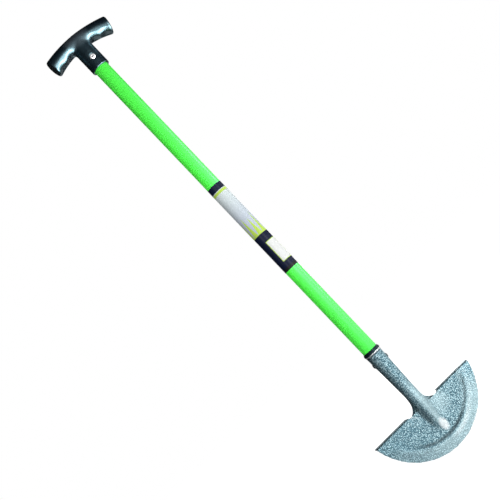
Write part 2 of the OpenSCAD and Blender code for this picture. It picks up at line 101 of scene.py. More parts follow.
class Graph:
    """A material's node tree with short calls for the nodes that the finishes share."""

    def __init__(self, name: str) -> None:
        """Starts a material with one Principled shader.

        Args:
            name: Name of the material.
        """
        self.material = bpy.data.materials.new(name)
        self.material.use_nodes = True
        self.tree = self.material.node_tree
        self.tree.nodes.clear()
        output = self.node("ShaderNodeOutputMaterial")
        self.shader = self.node("ShaderNodeBsdfPrincipled")
        self.feed(output.inputs["Surface"], self.shader.outputs["BSDF"])
        self.place = self.node("ShaderNodeTexCoord").outputs["Object"]
        self.x, self.y, self.z = self.split(self.place)

    def node(self, kind: str, **settings: object) -> bpy.types.Node:
        """Adds a node.

        Args:
            kind: Blender's name for the node type.
            **settings: Properties to set on it.

        Returns:
            The new node.
        """
        made = self.tree.nodes.new(kind)
        for key, value in settings.items():
            setattr(made, key, value)
        return made

    def feed(self, socket: Socket, value: Feed) -> None:
        """Links a socket to another one, or sets its value.

        Args:
            socket: The input to fill.
            value: An output socket, a number, a vector or a colour.
        """
        if isinstance(value, bpy.types.NodeSocket):
            self.tree.links.new(value, socket)
        elif isinstance(value, (int, float)):
            socket.default_value = value
        else:
            room = len(socket.default_value)
            socket.default_value = (*value, 1.0)[:room]

    def math(self, operation: str, a: Feed, b: Feed = 0.0) -> Socket:
        """One arithmetic step.

        Args:
            operation: Blender's name for the operation.
            a: First operand.
            b: Second operand, where the operation has one.

        Returns:
            The result.
        """
        made = self.node("ShaderNodeMath", operation=operation)
        self.feed(made.inputs[0], a)
        self.feed(made.inputs[1], b)
        return made.outputs[0]

    def times(self, first: Feed, *others: Feed) -> Socket:
        """Product of two or more values."""
        return reduce(lambda a, b: self.math("MULTIPLY", a, b), others, first)

    def plus(self, first: Feed, *others: Feed) -> Socket:
        """Sum of two or more values."""
        return reduce(lambda a, b: self.math("ADD", a, b), others, first)

    def most(self, first: Feed, *others: Feed) -> Socket:
        """Largest of two or more values."""
        return reduce(lambda a, b: self.math("MAXIMUM", a, b), others, first)

    def span(self, value: Feed, low: float, high: float, start: float = 0.0, end: float = 1.0) -> Socket:
        """Maps a value smoothly from one range to another, and keeps it there.

        Args:
            value: The value to map.
            low: Value that gives start.
            high: Value that gives end.
            start: Result at low.
            end: Result at high.

        Returns:
            The mapped value.
        """
        made = self.node("ShaderNodeMapRange", interpolation_type="SMOOTHSTEP", clamp=True)
        for socket, number in zip(made.inputs[:5], (value, low, high, start, end)):
            self.feed(socket, number)
        return made.outputs[0]

    def window(self, value: Feed, start: float, full: float, fade: float, end: float) -> Socket:
        """Share that rises from start to full and falls from fade to end."""
        return self.times(self.span(value, start, full), self.span(value, end, fade))

    def split(self, vector: Socket) -> tuple[Socket, Socket, Socket]:
        """Parts of a vector.

        Args:
            vector: The vector.

        Returns:
            Its three parts.
        """
        made = self.node("ShaderNodeSeparateXYZ")
        self.feed(made.inputs[0], vector)
        return tuple(made.outputs)

    def noise(
        self, size: float, detail: float = 2.0, at: Socket | None = None, output: str = "Fac"
    ) -> Socket:
        """Noise of a given grain.

        Args:
            size: Length of one grain.
            detail: Octaves of finer noise.
            at: Coordinates, or the object's own.
            output: Name of the output to take.

        Returns:
            The noise.
        """
        made = self.node("ShaderNodeTexNoise")
        self.feed(made.inputs["Vector"], at or self.place)
        self.feed(made.inputs["Scale"], 1.0 / size)
        self.feed(made.inputs["Detail"], detail)
        return made.outputs[output]

    def lines(self, lay: Point, detail: float) -> Socket:
        """Noise that runs one way.

        Args:
            lay: Grains per metre along each axis.
            detail: Octaves of finer noise.

        Returns:
            The noise.
        """
        made = self.node("ShaderNodeMapping")
        self.feed(made.inputs["Vector"], self.place)
        self.feed(made.inputs["Scale"], lay)
        return self.noise(1.0, detail, made.outputs[0])

    def ramp(self, value: Socket, stops: Sequence[tuple[float, Colour]]) -> Socket:
        """Colours along a value.

        Args:
            value: Where on the ramp.
            stops: Positions and their colours.

        Returns:
            The colour.
        """
        made = self.node("ShaderNodeValToRGB")
        elements = made.color_ramp.elements
        while len(elements) < len(stops):
            elements.new(0.5)
        for element, (position, colour) in zip(elements, stops):
            element.position = position
            element.color = (*colour, 1.0)
        self.feed(made.inputs[0], value)
        return made.outputs[0]

    def mix(self, share: Feed, a: Feed, b: Feed) -> Socket:
        """Mixes two colours.

        Args:
            share: How much of the second one.
            a: First colour.
            b: Second colour.

        Returns:
            The mixed colour.
        """
        made = self.node("ShaderNodeMix", data_type="RGBA")
        self.feed(made.inputs[0], share)
        self.feed(made.inputs[6], a)
        self.feed(made.inputs[7], b)
        return made.outputs[2]

    def bump(self, height: Socket, depth: float, strength: float, under: Socket | None = None) -> Socket:
        """Turns a height into a bumped normal.

        Args:
            height: The height, from 0 to 1.
            depth: Depth of the relief.
            strength: How strongly it shows.
            under: Normal of a coarser bump below this one.

        Returns:
            The normal.
        """
        made = self.node("ShaderNodeBump")
        self.feed(made.inputs["Strength"], strength)
        self.feed(made.inputs["Distance"], depth)
        self.feed(made.inputs["Height"], height)
        if under is not None:
            self.feed(made.inputs["Normal"], under)
        return made.outputs[0]

    def edges(self, levels: Levels) -> Socket:
        """Share of wear on the convex edges, from the mesh's own pointiness."""
        point = self.node("ShaderNodeNewGeometry").outputs["Pointiness"]
        return self.span(point, *levels)

    def dress(self, **sockets: Feed) -> bpy.types.Material:
        """Fills the shader's sockets.

        Args:
            **sockets: Socket names, with underscores for spaces, and their values.

        Returns:
            The finished material.
        """
        for name, value in sockets.items():
            self.feed(self.shader.inputs[name.replace("_", " ")], value)
        return self.material


@dataclass(frozen=True)
class Spot:
    """A soft oval on the front of the head that carries a painted highlight or a painted shade."""

    x: float
    z: float
    half_x: float
    half_z: float
    share: float
    facing: Levels = (0.1, -0.3)

    def mask(self, g: Graph) -> Socket:
        """Share at each point: most at the middle, none outside the oval and on the back.

        Args:
            g: The material being built.

        Returns:
            The share.
        """
        _, facing, _ = g.split(g.node("ShaderNodeNewGeometry").outputs["True Normal"])
        side = g.math("DIVIDE", g.math("SUBTRACT", g.x, self.x), self.half_x)
        off = g.math("DIVIDE", g.math("SUBTRACT", g.z, self.z), self.half_z)
        square = g.plus(g.times(side, side), g.times(off, off))
        return g.times(g.span(square, 1.0, 0.0), g.span(facing, *self.facing), self.share)


@dataclass(frozen=True)
class HammeredPaint:
    """Hammer-finish paint: metal flake drawn into small cells with dark rims, thinner on the rim band.

    Painted highlights lighten the rim band, its inner edge, the right end of the step, the ridge, its nose
    and the field beside it; painted shade darkens the step's crease, the foot of the ridge's left flank, a
    ring under the socket's bead and the head's left side.

    Distances named rim run inwards from the cutting edge.
    """

    name: str = "hammered_paint"
    dark: Colour = (0.045, 0.105, 0.135)
    middle: Colour = (0.18, 0.325, 0.38)
    light: Colour = (0.52, 0.68, 0.72)
    # band is the rubbed band's lighter tone, also used for the painted highlights on the ridge, the step's
    # right end and the field beside the ridge
    band: Colour = (0.53, 0.68, 0.71)
    # steel is bare steel at chips, worn bends and the bare bead, and also the tone of the painted highlights
    # on the ridge's nose and the band's inner edge
    steel: Colour = (0.90, 0.93, 0.94)
    # The darkest tone is painted shade in the step's crease, at the foot of the ridge's left flank and under
    # the socket's bead
    painted_shade: Colour = (0.035, 0.06, 0.07)
    tones: tuple[float, float, float] = (0.15, 0.6, 1.0)
    metal: float = 0.8
    edge_r: float = 107.1 * MM

    # Cells of the film, flake in it, slow changes of its tone, and a painted shade that darkens it towards
    # the left
    cell: float = 1.7 * MM
    cell_blur: float = 0.2
    cell_depth: float = 0.36 * MM
    cell_relief: float = 0.7
    wander_grain: float = 3.0 * MM
    wander: float = 0.9 * MM
    dome: Levels = (0.75, 0.05)
    dome_rough: Levels = (0.0, 1.0, 0.48, 0.38)
    flake_grain: float = 0.5 * MM
    flake: Levels = (0.55, 0.75, 0.0, 0.25)
    flake_depth: float = 0.03 * MM
    flake_relief: float = 0.4
    patch_grain: float = 45.0 * MM
    patch_tone: float = 0.15
    patch_rough: float = 0.06
    left_shade_x: Levels = (*mm(-80.0, 0.0), -0.12, 0.03)

    # Lightening of the rim band, partly rubbed paint and partly a painted highlight growing to the right,
    # and painted highlights on its inner edge and on the right end of the step inside it
    band_rim: Levels = mm(21.0, 17.0)
    band_x: Levels = (*mm(-80.0, 10.0), 0.14, 0.4)
    band_z: Levels = mm(75.0, 40.0)
    band_rough: float = -0.1
    shine_rim: Levels = mm(9.0, 13.0, 16.5, 18.5)
    shine_x: Levels = (*mm(-5.0, 20.0), 0.0, 0.22)
    shine_end_x: Levels = (*mm(65.0, 30.0), 0.2, 1.0)
    step_rim: Levels = mm(17.0, 22.0, 26.0, 31.0)
    step_x: Levels = (*mm(25.0, 60.0), 0.0, 0.15)
    step_y: Levels = mm(0.6, 0.0)

    # Wear of the cutting edge and the sharp bends, and painted highlights on the ridge, its nose and the
    # field beside it
    edge_rim: Levels = mm(1.6, 0.0)
    chip_grain: float = 5.0 * MM
    chip: Levels = (0.4, 0.6, 0.0, 0.7)
    bend: Levels = (0.56, 0.66, 0.0, 0.35)
    ridge_x: Levels = mm(-7.0, 4.0, 12.0, 18.0)
    ridge_y: Levels = (*mm(-0.9, -3.5), 0.0, 0.5)
    ridge_z: Levels = mm(29.0, 38.0, 90.0, 150.0)
    nose: Spot = Spot(*mm(4.5, 40.5, 9.0, 14.4), 0.7)
    beside: Spot = Spot(*mm(20.0, 74.0, 26.0, 30.0), 0.3)

    # Painted shade in the step's crease, at the foot of the ridge's left flank and in a ring under the bead
    # at the socket's mouth, and the bare bead itself
    painted_shade_rim: Levels = mm(19.0, 23.0, 24.0, 29.0)
    painted_shade_z: Levels = (*mm(70.0, 30.0), 0.1, 0.8)
    painted_shade_left_x: Levels = mm(-75.0, -35.0)
    painted_shade_right_x: Levels = (*mm(60.0, 15.0), 0.2, 1.0)
    painted_shade_grain: float = 9.0 * MM
    painted_shade_patch: Levels = (0.3, 0.6, 0.7, 1.0)
    # Painted shade at the foot of the ridge's left flank
    foot: Spot = Spot(*mm(-9.5, 70.0, 6.5, 27.0), 0.6)
    bead_shade_z: Levels = mm(194.5, 195.1, 196.8, 197.4)
    bead_shade: float = 0.75
    bead_z: Levels = (*mm(196.9, 197.5), 0.0, 0.85)

    def make(self) -> bpy.types.Material:
        """Builds the paint.

        Returns:
            The material.
        """
        g = Graph(self.name)
        rim = self.from_edge(g)
        dome = self.domes(g)
        patch = g.noise(self.patch_grain, detail=3.0)
        flake = g.noise(self.flake_grain, detail=1.0)
        on_band = g.span(rim, *self.band_rim)
        # The tone takes random patches and a painted shade that darkens the head's left side
        tone = g.plus(dome, g.times(patch, self.patch_tone), g.span(g.x, *self.left_shade_x))
        colour = g.ramp(tone, list(zip(self.tones, (self.dark, self.middle, self.light))))
        colour = g.mix(g.span(flake, *self.flake), colour, self.light)
        # Lighter rim band: partly rubbed paint, partly a painted highlight that grows to the right and fades
        # upwards
        rubbed = g.times(on_band, g.span(g.x, *self.band_x), g.span(g.z, *self.band_z))
        colour = g.mix(rubbed, colour, self.band)
        # Painted highlights on the ridge, the right end of the step and the field beside the ridge
        colour = g.mix(g.most(self.ridge(g), self.step(g, rim), self.beside.mask(g)), colour, self.band)
        # Painted shade in the step's crease and at the foot of the ridge's left flank
        colour = g.mix(g.most(self.crease(g, rim), self.foot.mask(g)), colour, self.painted_shade)
        # Bare steel at the chipped cutting edge and the worn bends, and painted highlights on the ridge's
        # nose and the band's inner edge
        worn = g.most(self.edge(g, rim), g.edges(self.bend), self.nose.mask(g), self.shine(g, rim))
        colour = g.mix(worn, colour, self.steel)
        # Painted shade in a ring under the socket's bead
        under = g.times(g.window(g.z, *self.bead_shade_z), self.bead_shade)
        colour = g.mix(under, colour, self.painted_shade)
        colour = g.mix(g.span(g.z, *self.bead_z), colour, self.steel)
        rough = g.plus(g.span(dome, *self.dome_rough), g.times(patch, self.patch_rough))
        relief = g.bump(dome, self.cell_depth, self.cell_relief)
        return g.dress(
            Base_Color=colour,
            Metallic=self.metal,
            Roughness=g.plus(rough, g.times(on_band, self.band_rough)),
            Normal=g.bump(flake, self.flake_depth, self.flake_relief, relief),
        )

    def domes(self, g: Graph) -> Socket:
        """Height of the film: uneven cells, domed in their middle.

        Args:
            g: The material being built.

        Returns:
            The height, from 0 to 1.
        """
        shift = g.node("ShaderNodeVectorMath", operation="SCALE")
        g.feed(shift.inputs[0], g.noise(self.wander_grain, detail=1.0, output="Color"))
        g.feed(shift.inputs["Scale"], self.wander)
        spot = g.node("ShaderNodeVectorMath", operation="ADD")
        g.feed(spot.inputs[0], g.place)
        g.feed(spot.inputs[1], shift.outputs[0])
        cells = g.node("ShaderNodeTexVoronoi", feature="SMOOTH_F1")
        g.feed(cells.inputs["Vector"], spot.outputs[0])
        g.feed(cells.inputs["Scale"], 1.0 / self.cell)
        g.feed(cells.inputs["Smoothness"], self.cell_blur)
        return g.span(cells.outputs["Distance"], *self.dome)

    def from_edge(self, g: Graph) -> Socket:
        """Distance from the cutting edge, which is one arc about a point on the shaft's axis.

        Args:
            g: The material being built.

        Returns:
            The distance.
        """
        up = g.math("SUBTRACT", g.z, self.edge_r)
        square = g.plus(g.times(g.x, g.x), g.times(up, up))
        return g.math("SUBTRACT", self.edge_r, g.math("SQRT", square))

    def edge(self, g: Graph, rim: Socket) -> Socket:
        """Share of bare steel in chips along the cutting edge."""
        return g.times(g.span(rim, *self.edge_rim), g.span(g.noise(self.chip_grain), *self.chip))

    def shine(self, g: Graph, rim: Socket) -> Socket:
        """Share of painted highlight on the inner edge of the band, right of the ridge."""
        reach = g.times(g.span(g.x, *self.shine_x), g.span(g.x, *self.shine_end_x))
        return g.times(g.window(rim, *self.shine_rim), reach)

    def step(self, g: Graph, rim: Socket) -> Socket:
        """Share of painted highlight on the right end of the step inside the band, which lightens the step's
        shade there.
        """
        reach = g.times(g.span(g.x, *self.step_x), g.span(g.y, *self.step_y))
        return g.times(g.window(rim, *self.step_rim), reach)

    def ridge(self, g: Graph) -> Socket:
        """Share of painted highlight along the top and the right flank of the ridge."""
        reach = g.times(g.window(g.x, *self.ridge_x), g.window(g.z, *self.ridge_z))
        return g.times(g.span(g.y, *self.ridge_y), reach)

    def crease(self, g: Graph, rim: Socket) -> Socket:
        """Share of painted shade in the step inside the band, broken into patches, most of it at the bottom.

        Args:
            g: The material being built.
            rim: Distance from the cutting edge.

        Returns:
            The share.
        """
        patch = g.span(g.noise(self.painted_shade_grain, detail=3.0), *self.painted_shade_patch)
        ends = g.times(g.span(g.x, *self.painted_shade_left_x), g.span(g.x, *self.painted_shade_right_x))
        return g.times(g.window(rim, *self.painted_shade_rim), g.span(g.z, *self.painted_shade_z), patch, ends)


@dataclass(frozen=True)
class GlossCoat:
    """Lime-green plastic sleeve drawn over the tube, with faint draw lines and handling marks."""

    name: str = "green_coat"
    colour: Colour = (0.082, 0.95, 0.058)
    deep: Colour = (0.07, 0.93, 0.048)
    scuff: Colour = (0.28, 0.93, 0.29)
    tint: Colour = (0.5, 0.85, 1.0)
    gloss: float = 1.0
    line_lay: Point = (420.0, 420.0, 5.0)
    line_depth: float = 0.04 * MM
    line_relief: float = 0.2
    cloud_grain: float = 60.0 * MM
    cloud_deep: Levels = (0.8, 1.25, 0.0, 0.5)
    cloud_rough: Levels = (0.3, 0.7, 0.4, 0.48)
    scuff_lay: Point = (900.0, 900.0, 55.0)
    scuff_mark: Levels = (0.62, 0.74)
    scuff_cloud: Levels = (0.52, 0.7)
    scuff_share: float = 0.4
    scuff_rough: float = 0.2

    def make(self) -> bpy.types.Material:
        """Builds the sleeve's finish.

        Returns:
            The material.
        """
        g = Graph(self.name)
        streak = g.lines(self.line_lay, detail=3.0)
        cloud = g.noise(self.cloud_grain, detail=3.0)
        colour = g.mix(g.span(g.plus(streak, cloud), *self.cloud_deep), self.colour, self.deep)
        mark = g.lines(self.scuff_lay, detail=5.0)
        scuffs = g.times(g.span(mark, *self.scuff_mark), g.span(cloud, *self.scuff_cloud))
        return g.dress(
            Base_Color=g.mix(g.times(scuffs, self.scuff_share), colour, self.scuff),
            Roughness=g.plus(g.span(cloud, *self.cloud_rough), g.times(scuffs, self.scuff_rough)),
            Specular_IOR_Level=self.gloss,
            Specular_Tint=self.tint,
            Normal=g.bump(streak, self.line_depth, self.line_relief),
        )


@dataclass(frozen=True)
class LabelFilm:
    """Printed film: silver field, lime grass blades over a navy foot, a plain white panel.

    Heights are shares of the label's length, and widths are shares of a turn.
    """

    name: str = "label_film"
    silver: Colour = (0.66, 0.74, 0.74)
    haze: Colour = (0.50, 0.56, 0.66)
    navy: Colour = (0.006, 0.011, 0.036)
    lime: Colour = (0.50, 0.72, 0.10)
    white: Colour = (0.78, 0.80, 0.79)
    ink: Colour = (0.012, 0.013, 0.016)
    gloss: float = 0.14

    # Grain of the film and the haze on it
    grain_lay: Point = (700.0, 700.0, 30.0)
    grain_depth: float = 0.03 * MM
    grain_relief: float = 0.3
    grain_rough: Levels = (0.3, 0.7, 0.34, 0.46)
    grain_haze: Levels = (0.35, 0.75, 0.0, 0.15)
    grain_dust: Levels = (0.6, 0.85, 0.0, 0.06)
    haze_up: Levels = (0.95, 0.45)

    # Rings round the label
    soft: float = 0.002
    ink_top: float = 0.03
    foot_top: float = 0.4
    ring: Pair = (0.905, 0.93)
    head: float = 0.936

    # Grass blades
    blades: float = 9.0
    blade_root: float = 0.41
    blade_reach: Levels = (0.0, 1.0, 0.10, 0.26)
    blade_point: float = 1.6
    blade_soft: Levels = (0.003, -0.003)

    # Framed panel on the foot
    panel_at: float = 0.07
    panel_half: float = 0.13
    panel_soft: float = 0.003
    panel: Pair = (0.085, 0.315)
    border: float = 0.012
    border_rise: float = 0.44

    def make(self) -> bpy.types.Material:
        """Builds the print.

        Returns:
            The material.
        """
        g = Graph(self.name)
        turn = g.math("DIVIDE", g.math("ARCTAN2", g.x, g.times(g.y, -1.0)), FULL_TURN)
        up = g.math("DIVIDE", g.math("SUBTRACT", g.z, LABEL_Z), LABEL_LEN)
        grain = g.lines(self.grain_lay, detail=2.0)
        colour = g.mix(g.span(up, *self.haze_up), self.silver, self.haze)
        for mask, print_colour in (
            (g.span(grain, *self.grain_haze), self.haze),
            (self.blade_mask(g, turn, up), self.lime),
            (self.below(g, up, self.foot_top), self.navy),
            (self.between(g, up, *self.ring), self.lime),
            (self.above(g, up, self.head), self.navy),
            (self.panel_mask(g, turn, up, 0.0), self.lime),
            (self.panel_mask(g, turn, up, self.border), self.white),
            (self.below(g, up, self.ink_top), self.ink),
            (g.span(grain, *self.grain_dust), self.haze),
        ):
            colour = g.mix(mask, colour, print_colour)
        return g.dress(
            Base_Color=colour,
            Roughness=g.span(grain, *self.grain_rough),
            Specular_IOR_Level=self.gloss,
            Normal=g.bump(grain, self.grain_depth, self.grain_relief),
        )

    def above(self, g: Graph, up: Socket, level: float) -> Socket:
        """1 above a height."""
        return g.span(up, level - self.soft, level + self.soft)

    def below(self, g: Graph, up: Socket, level: float) -> Socket:
        """1 below a height."""
        return g.span(up, level + self.soft, level - self.soft)

    def between(self, g: Graph, up: Socket, low: float, high: float) -> Socket:
        """1 between two heights."""
        return g.times(self.above(g, up, low), self.below(g, up, high))

    def blade_mask(self, g: Graph, turn: Socket, up: Socket) -> Socket:
        """Row of pointed grass blades of uneven height.

        Args:
            g: The material being built.
            turn: Turns round the shaft.
            up: Share of the label's length.

        Returns:
            1 on a blade.
        """
        steps = g.times(g.plus(turn, 1.0), self.blades)
        tooth = g.times(g.math("ABSOLUTE", g.math("SUBTRACT", g.math("FRACT", steps), 0.5)), 2.0)
        lot = g.node("ShaderNodeTexWhiteNoise", noise_dimensions="1D")
        g.feed(lot.inputs["W"], g.math("FLOOR", g.plus(steps, 0.5)))
        reach = g.span(lot.outputs["Value"], *self.blade_reach)
        top = g.plus(g.times(g.math("POWER", tooth, self.blade_point), reach), self.blade_root)
        return g.span(g.math("SUBTRACT", up, top), *self.blade_soft)

    def panel_mask(self, g: Graph, turn: Socket, up: Socket, inset: float) -> Socket:
        """Upright panel on the navy foot.

        Args:
            g: The material being built.
            turn: Turns round the shaft.
            up: Share of the label's length.
            inset: How far the mask is drawn in, as a share of a turn.

        Returns:
            1 on the panel.
        """
        off = g.math("ABSOLUTE", g.math("SUBTRACT", turn, self.panel_at))
        half = self.panel_half - inset
        across = g.span(off, half + self.panel_soft, half - self.panel_soft)
        rise = inset * self.border_rise
        low, high = self.panel
        return g.times(across, self.between(g, up, low + rise, high - rise))


@dataclass(frozen=True)
class MouldedPlastic:
    """Black moulded plastic with a fine eroded grain, polished by the hand on its high places.

    Where worn_half is given, the palm has dulled the middle of the grip over that half width.
    """

    name: str
    colour: Colour = (0.0015, 0.005, 0.010)
    polished: Colour = (0.005, 0.012, 0.024)
    tint: Colour = (0.54, 0.88, 1.0)
    rough: float = 0.3
    gloss: float = 0.3
    index: float = 1.5
    grain: float = 0.45 * MM
    grain_depth: float = 0.05 * MM
    grain_relief: float = 0.35
    grain_polish: Levels = (0.5, 0.8, 0.0, 0.3)
    cloud_grain: float = 18.0 * MM
    cloud_polish: Levels = (0.55, 0.8, 0.0, 0.5)
    cloud_rough: Levels = (0.3, 0.7, 0.06, -0.02)
    bend: Levels = (0.56, 0.68)
    polish_rough: float = -0.05
    worn: Colour = (0.030, 0.034, 0.042)
    worn_half: float = 0.0
    worn_foot: float = 0.5
    worn_widens_z: Levels = mm(898.0, 924.0)
    worn_z: Levels = mm(898.0, 908.0)
    worn_fade: Levels = (1.0, 0.2)
    worn_share: float = 0.8
    worn_rough: float = 0.25
    worn_gloss: float = 0.4

    def make(self) -> bpy.types.Material:
        """Builds the plastic.

        Returns:
            The material.
        """
        g = Graph(self.name)
        grain = g.noise(self.grain, detail=2.0)
        cloud = g.noise(self.cloud_grain, detail=3.0)
        rubbed = g.most(g.edges(self.bend), g.span(cloud, *self.cloud_polish))
        colour = g.mix(rubbed, self.colour, self.polished)
        colour = g.mix(g.span(grain, *self.grain_polish), colour, self.polished)
        rough = g.plus(g.span(cloud, *self.cloud_rough), self.rough, g.times(rubbed, self.polish_rough))
        gloss = self.gloss
        if self.worn_half:
            dull = self.dulled(g)
            colour = g.mix(g.times(dull, self.worn_share), colour, self.worn)
            rough = g.plus(rough, g.times(dull, self.worn_rough))
            gloss = g.span(dull, 0.0, 1.0, self.gloss, self.gloss * self.worn_gloss)
        return g.dress(
            Base_Color=colour,
            Roughness=rough,
            IOR=self.index,
            Specular_IOR_Level=gloss,
            Specular_Tint=self.tint,
            Normal=g.bump(grain, self.grain_depth, self.grain_relief),
        )

    def dulled(self, g: Graph) -> Socket:
        """Share of dulling by the palm on the middle of the grip, widest at the top.

        Args:
            g: The material being built.

        Returns:
            The share.
        """
        half = g.span(g.z, *self.worn_widens_z, self.worn_half * self.worn_foot, self.worn_half)
        across = g.math("DIVIDE", g.x, half)
        return g.times(g.span(g.times(across, across), *self.worn_fade), g.span(g.z, *self.worn_z))


@dataclass(frozen=True)
class BareMetal:
    """Plain rivet or tube metal with drawn scratches and dull spots."""

    name: str
    colour: Colour
    dull: Colour
    rough: float
    lay: Point
    metal: float = 1.0
    scratch_depth: float = 0.03 * MM
    scratch_relief: float = 0.35
    scratch_rough: float = 0.08
    spot_grain: float = 3.0 * MM
    spot_dull: Levels = (0.45, 0.75)
    spot_rough: Levels = (0.35, 0.7, 0.0, 0.14)

    def make(self) -> bpy.types.Material:
        """Builds the metal.

        Returns:
            The material.
        """
        g = Graph(self.name)
        scratch = g.lines(self.lay, detail=4.0)
        spots = g.noise(self.spot_grain, detail=4.0)
        rough = g.plus(g.span(spots, *self.spot_rough), self.rough, g.times(scratch, self.scratch_rough))
        return g.dress(
            Base_Color=g.mix(g.span(spots, *self.spot_dull), self.colour, self.dull),
            Metallic=self.metal,
            Roughness=rough,
            Normal=g.bump(scratch, self.scratch_depth, self.scratch_relief),
        )


def new_piece(
    name: str, mesh: bmesh.types.BMesh, stands_for: str, material: bpy.types.Material
) -> None:
    """Turns a finished bmesh into a piece that stands for a node of the solids.

    Args:
        name: Name of the piece.
        mesh: Its finished mesh, which is freed.
        stands_for: Node that it replaces.
        material: Its finish.
    """
    data = bpy.data.meshes.new(name)
    mesh.to_mesh(data)
    mesh.free()
    if "custom_normal" in data.attributes:
        data.attributes.remove(data.attributes["custom_normal"])
    data.shade_smooth()
    data.set_sharp_from_angle(angle=SHARP_ANGLE)
    data.materials.append(material)
    piece = bpy.data.objects.new(name, data)
    bpy.context.scene.collection.objects.link(piece)
    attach(piece, BODY)
    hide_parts(stands_for)
    LOG.info("%s: %d faces, stands for %s", name, len(data.polygons), stands_for)


def dress_node(node: str, material: bpy.types.Material) -> None:
    """Gives a node of the solids its finish.

    Args:
        node: Name of the node.
        material: The finish.
    """
    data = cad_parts[node].data
    data.materials.clear()
    data.materials.append(material)
    LOG.info("%s: kept, with finish %s", node, material.name)


def merged_copy(node: str) -> bmesh.types.BMesh:
    """Copy of a node's mesh with its loose triangles joined.

    Args:
        node: Name of the node.

    Returns:
        The joined copy.
    """
    mesh = bmesh.new()
    mesh.from_mesh(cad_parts[node].data)
    bmesh.ops.remove_doubles(mesh, verts=mesh.verts, dist=WELD)
    return mesh


def turned(
    outline: Sequence[Pair],
    axis: Axis,
    centre: Vector,
    rounding: float,
    turn: float = FULL_TURN,
    steps: int = 128,
) -> bmesh.types.BMesh:
    """Spins a closed outline about an axis.

    Args:
        outline: Radius and height along the axis of each corner.
        axis: The axis.
        centre: Point where height is zero.
        rounding: Radius that softens the outline's corners.
        turn: Angle of the spin.
        steps: Number of steps in it.

    Returns:
        The turned mesh.
    """
    mesh = bmesh.new()
    along = Vector(axis.value)
    out = Vector((1.0, 0.0, 0.0))
    corners = [mesh.verts.new(centre + out * r + along * h) for r, h in outline]
    for one, other in zip(corners, corners[1:] + corners[:1]):
        mesh.edges.new((one, other))
    if rounding > 0.0:
        bmesh.ops.bevel(mesh, geom=corners, offset=rounding, offset_type="OFFSET", segments=3,
                        profile=0.5, affect="VERTICES", clamp_overlap=True, material=-1)
    bmesh.ops.spin(mesh, geom=mesh.verts[:] + mesh.edges[:], cent=centre, axis=along,
                   angle=turn, steps=steps, use_merge=turn == FULL_TURN, use_duplicate=False)
    bmesh.ops.remove_doubles(mesh, verts=mesh.verts, dist=WELD)
    bmesh.ops.holes_fill(mesh, edges=[e for e in mesh.edges if e.is_boundary], sides=len(outline))
    bmesh.ops.recalc_face_normals(mesh, faces=mesh.faces)
    return mesh


@dataclass
class BladeHead:
    """The pressed head and the rivet through its socket."""

    paint: bpy.types.Material
    rivet: bpy.types.Material
    join_angle: float = math.radians(12.0)
    join_shape: float = math.radians(50.0)
    rim_round: float = 0.3 * MM
    rim_angle: float = math.radians(48.0)

    def build(self) -> None:
        """Makes the head from its solid, with the sheet's rims softened, and paints the rivet."""
        mesh = merged_copy("blade_head")
        bmesh.ops.join_triangles(mesh, faces=mesh.faces, angle_face_threshold=self.join_angle,
                                 angle_shape_threshold=self.join_shape)
        rims = [e for e in mesh.edges if len(e.link_faces) == 2 and e.calc_face_angle() > self.rim_angle]
        bmesh.ops.bevel(mesh, geom=rims, offset=self.rim_round, offset_type="OFFSET", segments=2,
                        profile=0.5, affect="EDGES", clamp_overlap=True, material=-1)
        new_piece("pressed_head", mesh, "blade_head", self.paint)
        dress_node("head_rivet", self.rivet)


